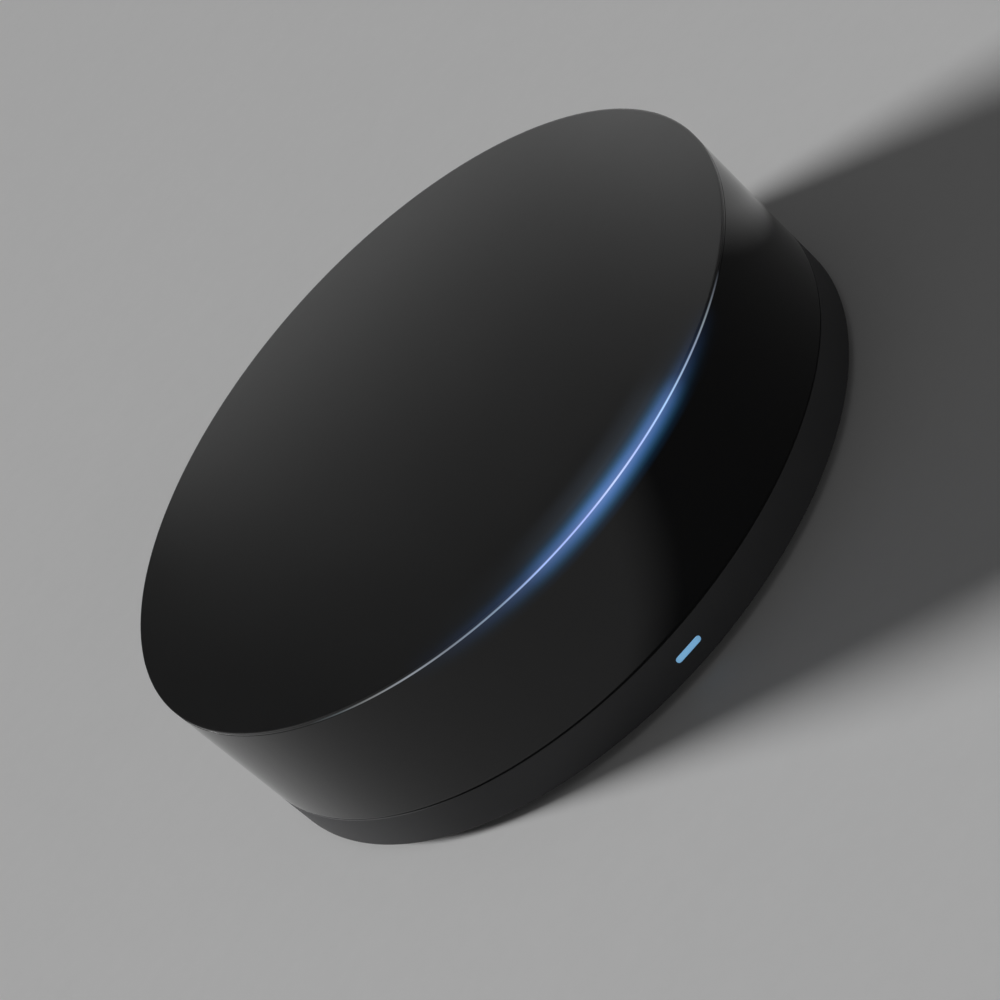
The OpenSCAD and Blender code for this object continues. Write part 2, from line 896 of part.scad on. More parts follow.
top_cover();
light_guide_ring();
ir_window_band();
base_shell();
foot_ring();
status_window();
case_screws();
board_screws();
main_board();
ir_emitter(1);  // ir_emitter_1
ir_emitter(2);  // ir_emitter_2
ir_emitter(3);  // ir_emitter_3
ir_emitter(4);  // ir_emitter_4
ir_emitter(5);  // ir_emitter_5
ir_emitter(6);  // ir_emitter_6
ir_receiver();
ring_led(1);  // ring_led_1
ring_led(2);  // ring_led_2
ring_led(3);  // ring_led_3
status_led();
usb_shell();
usb_insert();
usb_contacts();
reset_switch_case();
reset_switch_cover();
reset_plunger();
radio_board();
radio_shield();
processor_chip();
flash_chip();
crystal();
chip_antenna();
voltage_regulator();
power_inductor();
bulk_capacitor(1);  // bulk_capacitor_1
bulk_capacitor(2);  // bulk_capacitor_2
driver_transistor(1);  // driver_transistor_1
driver_transistor(2);  // driver_transistor_2
driver_transistor(3);  // driver_transistor_3
surge_diode();
chip_resistors();
chip_capacitors();
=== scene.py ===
"""Looks of a round infrared remote-control hub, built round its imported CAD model."""
import json
from math import cos, hypot, pi, radians, sin, sqrt

import bpy
from mathutils import Matrix, Vector


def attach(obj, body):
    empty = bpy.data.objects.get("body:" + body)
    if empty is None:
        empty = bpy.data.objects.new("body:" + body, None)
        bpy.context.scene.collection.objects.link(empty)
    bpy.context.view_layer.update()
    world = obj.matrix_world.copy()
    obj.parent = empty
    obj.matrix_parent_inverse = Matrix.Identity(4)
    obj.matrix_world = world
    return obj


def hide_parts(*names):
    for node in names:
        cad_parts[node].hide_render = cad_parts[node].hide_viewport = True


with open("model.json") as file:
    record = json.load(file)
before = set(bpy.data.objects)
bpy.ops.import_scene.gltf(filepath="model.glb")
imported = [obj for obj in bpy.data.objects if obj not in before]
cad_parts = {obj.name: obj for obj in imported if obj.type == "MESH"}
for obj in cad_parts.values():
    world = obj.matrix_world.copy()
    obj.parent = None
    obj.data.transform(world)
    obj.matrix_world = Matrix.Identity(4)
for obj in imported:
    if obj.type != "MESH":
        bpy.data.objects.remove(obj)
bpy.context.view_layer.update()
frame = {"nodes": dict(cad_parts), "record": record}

MM = 0.001

# Sizes of the case in millimetres, as the CAD model has them
CASE_R = 53.5
INNER_R = 51.5
LIP_R = 52.4
REBATE_R = 52.5
BASE_Z = 1.2
GROOVE_Z = 2.0
FLOOR_Z = 3.4
BASE_TOP_Z = 7.7
BAND_Z = 7.95
LIP_TOP_Z = 9.7
BAND_TOP_Z = 28.4
LID_Z = 28.75
RIM_Z = 29.1
CROWN_Z = 29.8
PLATE_Z = 27.8
SKIRT_R = 50.0
SKIRT_IN_R = 48.6
SKIRT_Z = 25.55
BOARD_Z = 6.3
BOARD_TOP_Z = 7.9
SCREW_CIRCLE_R = 46.25
SCREW_ANGLES = (45, 135, 225, 315)
SCREW_FACE_Z = 3.3
SCREW_BOSS_Z = 5.0
POST_R = 2.6
BOARD_SCREW_R = 29.972
BOARD_SCREW_ANGLES = (15, 105, 195, 285)
RECESS_R = 30
RECESS_Z = 1.5
GROOVE_OUT_R = 49.1
GROOVE_IN_R = 43.4
STATUS_Z = 4.3
SOCKET_Z = 5.075
SOCKET_BACK_Y = 47.3
RESET_X = 10
RESET_Z = 4.96
PLUNGER_BACK_Y = 46.68

# Small sizes in millimetres that many pieces share
BREAK = 0.1
FINE_ROUND = 0.08
# A line this far from a rounded edge keeps the wall beside it straight to the eye
HOLD = 0.2
# How far joined pieces reach into each other, and how far a cutter passes the face that it opens
SINK = 0.4
CLEAR = 0.5
# Corners nearer to each other than this are taken as one
MERGE_GAP = 0.001
# A face whose normal has at least this much of a direction faces that way
FACING = 0.9
# A bar's edges are rounded a little less than asked, so that a bar as high as two radii keeps flat sides
ROUND_SHARE = 0.999

# Steps round a whole turn: of the case, of the rings that mirror or glow, of rods and of screws
ROUND_STEPS = 192
SMOOTH_STEPS = 256
ROD_STEPS = 48
SCREW_STEPS = 32


# ---------------------------------------------------------------- camera

# The view on the lid's edge circle, with distances in radii of the case
VIEW_LENS = 119.82
VIEW_SENSOR = 36
VIEW_DISTANCE = 8.61
VIEW_ELEVATION = 29.008
VIEW_ROLL = 48.235
VIEW_SIDE = -0.2092
VIEW_RISE = 0.2323
VIEW_RIM_Z = 28.82
# The nearest and the farthest that the camera sees, in metres
VIEW_NEAR = 0.01
VIEW_FAR = 60


def place_camera():
    """Looks at the lid from the photo's angle, rolled and shifted as the photo is."""
    e, r = radians(VIEW_ELEVATION), radians(VIEW_ROLL)
    right = Vector((cos(r), -sin(r) * sin(e), -sin(r) * cos(e)))
    up = Vector((sin(r), cos(r) * sin(e), cos(r) * cos(e)))
    back = Vector((0, -cos(e), sin(e)))
    spot = VIEW_DISTANCE * back - VIEW_SIDE * right - VIEW_RISE * up
    spot = (spot * CASE_R + Vector((0, 0, VIEW_RIM_Z))) * MM
    camera = bpy.data.objects.new("camera", bpy.data.cameras.new("camera"))
    bpy.context.scene.collection.objects.link(camera)
    camera.data.lens = VIEW_LENS
    camera.data.sensor_width = VIEW_SENSOR
    camera.data.clip_start = VIEW_NEAR
    camera.data.clip_end = VIEW_FAR
    turn = Matrix((right, up, back)).transposed()
    camera.matrix_world = Matrix.Translation(spot) @ turn.to_4x4()
    bpy.context.scene.camera = camera


place_camera()


# ---------------------------------------------------------------- modelling

def deselect():
    """Leaves edit mode, with no object selected."""
    if bpy.context.object and bpy.context.object.mode != "OBJECT":
        bpy.ops.object.mode_set(mode="OBJECT")
    bpy.ops.object.select_all(action="DESELECT")


def select(piece):
    """Selects one piece alone and makes it the active one."""
    deselect()
    bpy.context.view_layer.objects.active = piece
    piece.select_set(True)


def begin(name):
    """Names the primitive that was just added, and opens it for editing with all of it selected."""
    piece = bpy.context.object
    piece.name = name
    piece.data.name = name
    bpy.ops.object.transform_apply(location=True, rotation=True, scale=True)
    bpy.ops.object.mode_set(mode="EDIT")
    bpy.ops.mesh.select_all(action="SELECT")
    return piece


def soften(piece, angle=35):
    """Shades a piece softly up to an angle."""
    select(piece)
    bpy.ops.object.shade_smooth_by_angle(angle=radians(angle))
    deselect()
    return piece


def close(piece):
    """Leaves edit mode with doubles merged, all faces outwards and soft shading."""
    bpy.ops.mesh.select_all(action="SELECT")
    bpy.ops.mesh.remove_doubles(threshold=MERGE_GAP * MM)
    bpy.ops.mesh.normals_make_consistent(inside=False)
    return soften(piece)


def fix(piece):
    """Writes a piece's place and turn into its mesh."""
    select(piece)
    bpy.ops.object.transform_apply(location=True, rotation=True, scale=True)
    deselect()
    return piece


def pick(piece, test, kind="VERT"):
    """Opens a piece for editing with only those vertices, edges or faces selected that pass the test."""
    select(piece)
    bpy.ops.object.mode_set(mode="EDIT")
    bpy.ops.mesh.select_mode(type=kind)
    bpy.ops.mesh.select_all(action="DESELECT")
    bpy.ops.object.mode_set(mode="OBJECT")
    parts = {"VERT": piece.data.vertices, "EDGE": piece.data.edges, "FACE": piece.data.polygons}
    for part in parts[kind]:
        part.select = bool(test(part))
    bpy.ops.object.mode_set(mode="EDIT")


def span_y(piece, edge):
    """How far an edge reaches along Y."""
    a, b = (piece.data.vertices[i].co for i in edge.vertices)
    return abs(a.y - b.y)


def apply(piece, kind, **settings):
    """Adds a modifier to a piece and applies it."""
    select(piece)
    modifier = piece.modifiers.new(kind.lower(), kind)
    for key, value in settings.items():
        setattr(modifier, key, value)
    bpy.ops.object.modifier_apply(modifier=modifier.name)
    deselect()
    return piece


def combine(piece, others, how):
    """Joins the others to a piece, or cuts them out of it, and removes them."""
    for other in others:
        apply(piece, "BOOLEAN", operation=how, object=other, solver="EXACT")
        bpy.data.objects.remove(other)
    return piece


def join(pieces, name):
    """Makes several pieces one object, whose parts stay separate shells."""
    deselect()
    for piece in pieces:
        piece.select_set(True)
    bpy.context.view_layer.objects.active = pieces[0]
    bpy.ops.object.join()
    pieces[0].name = name
    pieces[0].data.name = name
    deselect()
    return pieces[0]


def twin(piece, name):
    """A copy of a piece with its own mesh."""
    copy = piece.copy()
    copy.data = piece.data.copy()
    copy.name = name
    bpy.context.scene.collection.objects.link(copy)
    return copy


def put(piece, azimuth, radius, z=0.0):
    """Moves a piece from the axis to an azimuth from the front, with its own +X outwards."""
    turn = radians(azimuth - 90)
    spot = (radius * cos(turn) * MM, radius * sin(turn) * MM, z * MM)
    piece.matrix_world = Matrix.Translation(spot) @ Matrix.Rotation(turn, 4, "Z")
    return fix(piece)


def around(piece, angles, radius, z=0.0):
    """Copies a piece to each azimuth, and removes the pattern piece."""
    copies = [put(twin(piece, "%s_%d" % (piece.name, i + 1)), azimuth, radius, z)
              for i, azimuth in enumerate(angles)]
    bpy.data.objects.remove(piece)
    return copies


def lay_along_y(piece, x, y, z):
    """Turns a rod that stands on the axis to point along +Y from a place."""
    spot = (x * MM, y * MM, z * MM)
    piece.matrix_world = Matrix.Translation(spot) @ Matrix.Rotation(radians(-90), 4, "X")
    return fix(piece)


def turn_over(piece):
    """Turns a piece upside down about the axis through its bearing face."""
    piece.matrix_world = Matrix.Rotation(pi, 4, "X")
    return fix(piece)


def arc(r, z, size, start, end, steps=4):
    """Points of a rounded edge round a centre, from one angle to another."""
    turns = [radians(start + (end - start) * i / steps) for i in range(steps + 1)]
    return [(r + size * cos(t), z + size * sin(t)) for t in turns]


def rise_to(now, then):
    """Pulls the selected circle straight up or down to a new height."""
    bpy.ops.mesh.extrude_edges_move(
        TRANSFORM_OT_translate={"value": (0, 0, (then[1] - now[1]) * MM)})


def step_to(now, then):
    """Pulls the selected circle out to a new radius and height."""
    rise_to(now, then)
    grow = then[0] / now[0]
    bpy.ops.transform.resize(value=(grow, grow, 1))


def turned(name, profile, closed=True, steps=ROUND_STEPS):
    """A turned piece from its profile of radii and heights: a ring, or a solid closed at both ends."""
    deselect()
    r, z = profile[0]
    bpy.ops.mesh.primitive_circle_add(vertices=steps, radius=r * MM, fill_type="NOTHING",
                                      location=(0, 0, z * MM))
    piece = begin(name)
    for now, then in zip(profile, profile[1:]):
        if then[0] == 0:
            rise_to(now, then)
            bpy.ops.mesh.merge(type="CENTER")
        else:
            step_to(now, then)
    if closed:
        step_to(profile[-1], profile[0])
    else:
        if profile[-1][0] != 0:
            bpy.ops.mesh.edge_face_add()
        pick(piece, lambda v: abs(v.co.z - z * MM) < MERGE_GAP * MM
             and abs(hypot(v.co.x, v.co.y) - r * MM) < MERGE_GAP * MM)
        bpy.ops.mesh.edge_face_add()
    return close(piece)


def rod(name, r, z_low, z_high, flare=0.0):
    """A round rod along +Z, whose upper end may be flared."""
    top = [(r, z_high - flare), (r + flare, z_high)] if flare else [(r, z_high)]
    return turned(name, [(r, z_low)] + top, closed=False, steps=ROD_STEPS)


def rounded_bar(name, w, h, r, length, x, y, z, flare=0.0, steps=8):
    """A bar along +Y with rounded long edges, whose far end may be flared."""
    deselect()
    bpy.ops.mesh.primitive_cube_add(size=1)
    piece = begin(name)
    bpy.ops.transform.resize(value=(w * MM, length * MM, h * MM))
    bpy.ops.transform.translate(value=(x * MM, (y + length / 2) * MM, z * MM))
    pick(piece, lambda e: span_y(piece, e) > 0.5 * length * MM, "EDGE")
    bpy.ops.mesh.bevel(offset=ROUND_SHARE * r * MM, segments=steps, affect="EDGES")
    if flare:
        pick(piece, lambda f: f.normal.y > FACING, "FACE")
        bpy.ops.mesh.extrude_region_move(TRANSFORM_OT_translate={"value": (0, flare * MM, 0)})
        bpy.ops.transform.resize(value=(1 + 2 * flare / w, 1, 1 + 2 * flare / h))
    return close(piece)


# ---------------------------------------------------------------- the case

# The lid's crisp edge is a fine, nearly level chamfer, and its dome is a part of a large ball
LID_CHAMFER = 0.1
CHAMFER_DROP = 0.035
LID_BREAK = 0.05
DOME_R = ((CASE_R - LID_CHAMFER) ** 2 + (CROWN_Z - RIM_Z) ** 2) / (2 * (CROWN_Z - RIM_Z))
DOME_RINGS = 14
# Under the lid, a cove leads from the ceiling to the skirt, whose end has a lead-in
CEILING_R = 46.0
COVE_R = 1.0
LEAD_W = 0.3
LEAD_H = 0.4
POST_BORE_R = 1.35
POST_BORE_L = 7.3


def make_lid():
    """The domed lid, with its skirt and four screw posts."""
    rim_r = CASE_R - LID_CHAMFER
    radii = [rim_r * i / DOME_RINGS for i in range(1, DOME_RINGS)] + [rim_r - HOLD]
    dome = [(r, CROWN_Z - DOME_R + sqrt(DOME_R ** 2 - r ** 2)) for r in radii]
    profile = [(CEILING_R, PLATE_Z), (SKIRT_IN_R - COVE_R - HOLD, PLATE_Z)]
    profile += arc(SKIRT_IN_R - COVE_R, PLATE_Z - COVE_R, COVE_R, 90, 0)
    profile += [(SKIRT_IN_R, SKIRT_Z + BREAK), (SKIRT_IN_R + BREAK, SKIRT_Z), (SKIRT_R - LEAD_W, SKIRT_Z),
                (SKIRT_R, SKIRT_Z + LEAD_H), (SKIRT_R, LID_Z), (CASE_R - LID_BREAK, LID_Z),
                (CASE_R, LID_Z + LID_BREAK), (CASE_R, RIM_Z - CHAMFER_DROP), (rim_r, RIM_Z)]
    profile += dome[::-1] + [(0, CROWN_Z)]
    lid = turned("lid", profile, closed=False)
    post = rod("post", POST_R, SCREW_BOSS_Z, PLATE_Z + SINK)
    bore = rod("bore", POST_BORE_R, SCREW_BOSS_Z - CLEAR, SCREW_BOSS_Z + POST_BORE_L)
    combine(lid, around(post, SCREW_ANGLES, SCREW_CIRCLE_R), "UNION")
    combine(lid, around(bore, SCREW_ANGLES, SCREW_CIRCLE_R), "DIFFERENCE")
    return soften(lid)


BAND_CHAMFER = 0.06
BAND_DROP = 0.02


def make_band():
    """The glossy ring that is most of the side."""
    profile = [(REBATE_R, LIP_TOP_Z), (REBATE_R, BAND_Z)]
    profile += arc(CASE_R - FINE_ROUND, BAND_Z + FINE_ROUND, FINE_ROUND, -90, 0, 3)
    profile += [(CASE_R, BAND_Z + FINE_ROUND + HOLD), (CASE_R, BAND_TOP_Z - BAND_DROP),
                (CASE_R - BAND_CHAMFER, BAND_TOP_Z), (INNER_R + BREAK, BAND_TOP_Z),
                (INNER_R, BAND_TOP_Z - BREAK), (INNER_R, LIP_TOP_Z)]
    return turned("band", profile, steps=SMOOTH_STEPS)


BASE_ROUND = 0.5
RECESS_SLOPE = 0.15
# Bosses for the case screws, and seats for the board
BOSS_R = 3.6
BOSS_ROOT_Z = 2.7
SEAT_R = 2.6
SEAT_ROOT_Z = 2.0
HEAD_ROOM_R = 2.35
SHANK_ROOM_R = 1.5
THREAD_ROOM_R = 1.05
THREAD_ROOM_Z = 2.7
# Openings in the side: the status slot at the front, and the socket's mouth and the reset hole at the back
SLOT_W = 4.5
SLOT_H = 1.05
SLOT_L = 3
SLOT_Y = -54
MOUTH_W = 8.1
MOUTH_H = 3.05
MOUTH_ROUND = 0.6
MOUTH_L = 2.35
MOUTH_Y = 51
MOUTH_FLARE = 0.3
PINHOLE_R = 0.75
PINHOLE_L = 3.1
PINHOLE_Y = 49.65
PINHOLE_FLARE = 0.5


def make_base():
    """The base, turned as one skin from the recess in its underside round its side and lip to its floor."""
    under = [(RECESS_R, RECESS_Z), (RECESS_R + RECESS_SLOPE, BASE_Z), (GROOVE_IN_R - BREAK, BASE_Z),
             (GROOVE_IN_R, BASE_Z + BREAK), (GROOVE_IN_R, GROOVE_Z), (GROOVE_OUT_R, GROOVE_Z),
             (GROOVE_OUT_R, BASE_Z + BREAK), (GROOVE_OUT_R + BREAK, BASE_Z)]
    side = [(CASE_R - BASE_ROUND - HOLD, BASE_Z)]
    side += arc(CASE_R - BASE_ROUND, BASE_Z + BASE_ROUND, BASE_ROUND, -90, 0, 6)
    side += [(CASE_R, BASE_Z + BASE_ROUND + HOLD), (CASE_R, BASE_TOP_Z - FINE_ROUND - HOLD)]
    side += arc(CASE_R - FINE_ROUND, BASE_TOP_Z - FINE_ROUND, FINE_ROUND, 0, 90, 3)
    lip = [(LIP_R, BASE_TOP_Z), (LIP_R, LIP_TOP_Z - BREAK), (LIP_R - BREAK, LIP_TOP_Z), (INNER_R, LIP_TOP_Z),
           (INNER_R, FLOOR_Z)]
    skin = under + side + lip
    deselect()
    bpy.ops.mesh.primitive_circle_add(vertices=ROUND_STEPS, radius=RECESS_R * MM, fill_type="NGON",
                                      location=(0, 0, RECESS_Z * MM))
    base = begin("base")
    bpy.ops.mesh.select_mode(type="EDGE")
    bpy.ops.mesh.region_to_loop()
    for now, then in zip(skin, skin[1:]):
        step_to(now, then)
    bpy.ops.mesh.edge_face_add()
    close(base)
    boss = rod("boss", BOSS_R, BOSS_ROOT_Z, SCREW_BOSS_Z)
    seat = rod("seat", SEAT_R, SEAT_ROOT_Z, BOARD_Z)
    combine(base, around(boss, SCREW_ANGLES, SCREW_CIRCLE_R), "UNION")
    combine(base, around(seat, BOARD_SCREW_ANGLES, BOARD_SCREW_R), "UNION")
    head_room = rod("head_room", HEAD_ROOM_R, BASE_Z - CLEAR, SCREW_FACE_Z)
    shank_room = rod("shank_room", SHANK_ROOM_R, SCREW_FACE_Z - SINK, SCREW_BOSS_Z + CLEAR)
    thread_room = rod("thread_room", THREAD_ROOM_R, THREAD_ROOM_Z, BOARD_Z + CLEAR)
    combine(base, around(head_room, SCREW_ANGLES, SCREW_CIRCLE_R), "DIFFERENCE")
    combine(base, around(shank_room, SCREW_ANGLES, SCREW_CIRCLE_R), "DIFFERENCE")
    combine(base, around(thread_room, BOARD_SCREW_ANGLES, BOARD_SCREW_R), "DIFFERENCE")
    slot = rounded_bar("slot", SLOT_W, SLOT_H, SLOT_H / 2, SLOT_L, 0, SLOT_Y, STATUS_Z)
    mouth = rounded_bar("mouth", MOUTH_W, MOUTH_H, MOUTH_ROUND, MOUTH_L, 0, MOUTH_Y, SOCKET_Z,
                        flare=MOUTH_FLARE)
    pinhole = rod("pinhole", PINHOLE_R, 0, PINHOLE_L, flare=PINHOLE_FLARE)
    lay_along_y(pinhole, RESET_X, PINHOLE_Y, RESET_Z)
    combine(base, [slot, mouth, pinhole], "DIFFERENCE")
    return soften(base)


# The ring is set in from the case by a hair, and its tail hangs inside the band
RING_IN_R = 50.15
RING_TAIL_R = 51.35
RING_Z = 26.4
RING_SET = 0.03
RING_BREAK = 0.04
RING_DROP = 0.015
# Each leg starts as an upright strip. A toe reaches inwards over its lamp, and a shin rises into the ring.
LEG_AZIMUTHS = (-15, 9, 33)
LEG_R = 50.75
LEG_W = 1.0
LEG_Z = 10.05
LEG_H = 1.9
LEG_TOE = 1.85
LEG_SHIN = 15.9
LEG_TURN = 8


def make_ring():
    """The ring whose outer edge is the line of light."""
    edge_r = CASE_R - RING_SET
    profile = [(RING_IN_R, RING_Z + BREAK), (RING_IN_R + BREAK, RING_Z), (RING_TAIL_R - BREAK, RING_Z),
               (RING_TAIL_R, RING_Z + BREAK), (RING_TAIL_R, BAND_TOP_Z), (edge_r - RING_BREAK, BAND_TOP_Z),
               (edge_r, BAND_TOP_Z + RING_BREAK), (edge_r, LID_Z - RING_DROP), (edge_r - RING_BREAK, LID_Z),
               (RING_IN_R, LID_Z)]
    return turned("light_ring", profile, steps=SMOOTH_STEPS)


def make_leg(azimuth):
    """A curved leg that carries light from the board up to the ring."""
    deselect()
    bpy.ops.mesh.primitive_plane_add(size=1, rotation=(radians(90), 0, 0))
    leg = begin("leg")
    bpy.ops.transform.resize(value=(LEG_W * MM, 1, LEG_H * MM))
    bpy.ops.transform.translate(value=(LEG_R * MM, 0, LEG_Z * MM))
    pick(leg, lambda v: v.co.x < LEG_R * MM)
    bpy.ops.mesh.extrude_edges_move(TRANSFORM_OT_translate={"value": (-LEG_TOE * MM, 0, 0)})
    pick(leg, lambda v: v.co.x > (LEG_R - LEG_W) * MM and v.co.z > LEG_Z * MM)
    bpy.ops.mesh.extrude_edges_move(TRANSFORM_OT_translate={"value": (0, 0, LEG_SHIN * MM)})
    bpy.ops.mesh.select_all(action="SELECT")
    bpy.ops.mesh.spin(steps=8, angle=radians(LEG_TURN), center=(0, 0, 0), axis=(0, 0, 1))
    return put(close(leg), azimuth - LEG_TURN / 2, 0)


FOOT_IN_R = 43.5
FOOT_OUT_R = 49.0
FOOT_ROUND = 0.35
TREAD_RADII = (45.2, 47.0)
TREAD_W = 0.36
TREAD_FLOOR_W = 0.2
TREAD_DEPTH = 0.16


def make_foot():
    """A rubber ring with two fine tread grooves round its sole."""
    profile = [(FOOT_IN_R, GROOVE_Z)]
    profile += arc(FOOT_IN_R + FOOT_ROUND, FOOT_ROUND, FOOT_ROUND, 180, 270, 3)
    for middle in TREAD_RADII:
        profile += [(middle - TREAD_W / 2, 0), (middle - TREAD_FLOOR_W / 2, TREAD_DEPTH),
                    (middle + TREAD_FLOOR_W / 2, TREAD_DEPTH), (middle + TREAD_W / 2, 0)]
    profile += arc(FOOT_OUT_R - FOOT_ROUND, FOOT_ROUND, FOOT_ROUND, -90, 0, 3) + [(FOOT_OUT_R, GROOVE_Z)]
    return turned("foot", profile)


LIGHT_W = 4.4
LIGHT_H = 0.95
LIGHT_L = 2.3
LIGHT_Y = -53.42
LIGHT_CROWN = 0.03
LIGHT_CROWN_EDGE = 0.07
FLANGE_W = 6.4
FLANGE_H = 2.1
FLANGE_ROUND = 0.2
FLANGE_L = 0.8
FLANGE_Y = -51.35
FLANGE_Z = 4.55


def make_status_light():
    """A small frosted bar that shows in its slot, on a flange behind the wall."""
    bar = rounded_bar("status_light", LIGHT_W, LIGHT_H, LIGHT_H / 2, LIGHT_L, 0, LIGHT_Y, STATUS_Z)
    pick(bar, lambda f: f.normal.y < -FACING, "FACE")
    bpy.ops.mesh.inset(thickness=LIGHT_CROWN_EDGE * MM)
    bpy.ops.transform.translate(value=(0, -LIGHT_CROWN * MM, 0))
    flange = rounded_bar("status_flange", FLANGE_W, FLANGE_H, FLANGE_ROUND, FLANGE_L, 0, FLANGE_Y, FLANGE_Z,
                         steps=3)
    return soften(join([bar, flange], "status_light"))


# ---------------------------------------------------------------- the screws

# Heads and threads, as distances in millimetres from the edge that they break
PAN_TOP_IN = 0.45
PAN_SHOULDER_IN = 0.12
PAN_SHOULDER_Z = 0.22
PAN_SIDE_Z = 0.6
HEAD_BREAK = 0.06
THREAD_START = 0.3
THREAD_END = 0.8
TIP_L = 0.7
# The screw's core and its tip as shares of the thread's radius, and a turn of thread as shares of the pitch
CORE_SHARE = 0.8
TIP_SHARE = 0.25
CREST_SHARES = (0.42, 0.5, 0.92)
# The cross as shares of the head's radius and height, and its narrower bottom as shares of its mouth
CROSS_L_SHARE = 1.3
CROSS_W_SHARE = 0.36
CROSS_DEPTH_SHARE = 0.55
CROSS_TAPER = (0.45, 0.6)


def screw_cross(head_r, head_z, depth):
    """The tapered cross that is cut into a screw's head, from below."""
    bars = []
    bar_l, bar_w = CROSS_L_SHARE * head_r, CROSS_W_SHARE * head_r
    for turn in (0, 90):
        deselect()
        bpy.ops.mesh.primitive_cube_add(size=1)
        bar = begin("cross_bar")
        bpy.ops.transform.resize(value=(bar_l * MM, bar_w * MM, 2 * depth * MM))
        pick(bar, lambda f: f.normal.z > FACING, "FACE")
        bpy.ops.transform.resize(value=(*CROSS_TAPER, 1))
        bpy.ops.object.mode_set(mode="OBJECT")
        bar.matrix_world = Matrix.Translation((0, 0, head_z * MM)) @ Matrix.Rotation(radians(turn), 4, "Z")
        bars.append(fix(bar))
    return bars


def make_screw(name, head_r, head_h, thread_r, thread_l, pitch):
    """A pan-headed screw that points up from its bearing face at height 0."""
    core_r = CORE_SHARE * thread_r
    profile = [(head_r - PAN_TOP_IN, -head_h), (head_r - PAN_SHOULDER_IN, -head_h + PAN_SHOULDER_Z),
               (head_r, -head_h + PAN_SIDE_Z), (head_r, -HEAD_BREAK), (head_r - HEAD_BREAK, 0), (core_r, 0)]
    z = THREAD_START
    crest_low, crest_high, root = (share * pitch for share in CREST_SHARES)
    while z + pitch < thread_l - THREAD_END:
        profile += [(core_r, z), (thread_r, z + crest_low), (thread_r, z + crest_high), (core_r, z + root)]
        z += pitch
    profile += [(core_r, z), (core_r, thread_l - TIP_L), (TIP_SHARE * thread_r, thread_l), (0, thread_l)]
    screw = turned(name, profile, closed=False, steps=SCREW_STEPS)
    return combine(screw, screw_cross(head_r, -head_h, CROSS_DEPTH_SHARE * head_h), "DIFFERENCE")


def make_case_fixings():
    """The four screws that hold the lid to the base, with their heads down."""
    screw = make_screw("case_screw", head_r=2.1, head_h=1.3, thread_r=1.3, thread_l=8, pitch=1.0)
    return join(around(screw, SCREW_ANGLES, SCREW_CIRCLE_R, SCREW_FACE_Z), "case_fixings")


def make_board_fixings():
    """The four screws that hold the board to the base, with their heads up."""
    screw = make_screw("board_screw", head_r=1.9, head_h=1.2, thread_r=1.0, thread_l=5, pitch=0.8)
    return join(around(turn_over(screw), BOARD_SCREW_ANGLES, BOARD_SCREW_R, BOARD_TOP_Z), "board_fixings")


# ---------------------------------------------------------------- the power socket and the reset plunger

SHELL_W = 7.5
SHELL_H = 2.45
SHELL_L = 5.6
SHELL_WALL = 0.25
SHELL_SLANT = 0.75
SHELL_ROUND = 0.3
SHELL_DEEP = 5.3
SHELL_EDGE = 0.03
# Spring windows in the shell's upper side
WINDOW_W = 0.9
WINDOW_H = 1.0
WINDOW_L = 1.9
WINDOW_ROUND = 0.3
WINDOW_X = 2.1
WINDOW_Y = 48.9
WINDOW_Z = 6.3


def make_socket_shell():
    """The rolled sheet shell of the power socket, with spring windows above and slanted lower corners."""
    deselect()
    bpy.ops.mesh.primitive_cube_add(size=1)
    shell = begin("socket_shell")
    bpy.ops.transform.resize(value=(SHELL_W * MM, SHELL_L * MM, SHELL_H * MM))
    bpy.ops.transform.translate(value=(0, (SOCKET_BACK_Y + SHELL_L / 2) * MM, SOCKET_Z * MM))
    low = [v.index for v in shell.data.vertices if v.co.z < SOCKET_Z * MM]
    half_l = 0.5 * SHELL_L * MM
    pick(shell, lambda e: span_y(shell, e) > half_l and e.vertices[0] in low, "EDGE")
    bpy.ops.mesh.bevel(offset=SHELL_SLANT * MM, segments=1, affect="EDGES")
    pick(shell, lambda e: span_y(shell, e) > half_l, "EDGE")
    bpy.ops.mesh.bevel(offset=SHELL_ROUND * MM, segments=4, affect="EDGES")
    pick(shell, lambda f: f.normal.y > FACING, "FACE")
    bpy.ops.mesh.inset(thickness=SHELL_WALL * MM)
    bpy.ops.mesh.extrude_region_move(TRANSFORM_OT_translate={"value": (0, -SHELL_DEEP * MM, 0)})
    close(shell)
    windows = [rounded_bar("window", WINDOW_W, WINDOW_H, WINDOW_ROUND, WINDOW_L, side * WINDOW_X, WINDOW_Y,
                           WINDOW_Z, steps=4) for side in (-1, 1)]
    combine(shell, windows, "DIFFERENCE")
    apply(shell, "BEVEL", width=SHELL_EDGE * MM, segments=2, limit_method="ANGLE", angle_limit=radians(50))
    return soften(shell, 40)


BLOCK_W = 6.9
BLOCK_H = 1.86
BLOCK_ROUND = 0.55
BLOCK_L = 1.6
TONGUE_W = 3.7
TONGUE_H = 0.6
TONGUE_ROUND = 0.06
TONGUE_L = 3.3
TONGUE_Y = 48.8
TONGUE_Z = 5.325
TONGUE_TIP = (0.92, 0.6)


def make_socket_insert():
    """The moulded block at the back of the socket and its tongue, chamfered at the tip."""
    block = rounded_bar("socket_insert", BLOCK_W, BLOCK_H, BLOCK_ROUND, BLOCK_L, 0, SOCKET_BACK_Y, SOCKET_Z)
    tongue = rounded_bar("tongue", TONGUE_W, TONGUE_H, TONGUE_ROUND, TONGUE_L, 0, TONGUE_Y, TONGUE_Z, steps=2)
    pick(tongue, lambda f: f.normal.y > FACING, "FACE")
    bpy.ops.transform.resize(value=(TONGUE_TIP[0], 1, TONGUE_TIP[1]))
    return soften(combine(block, [tongue], "UNION"))


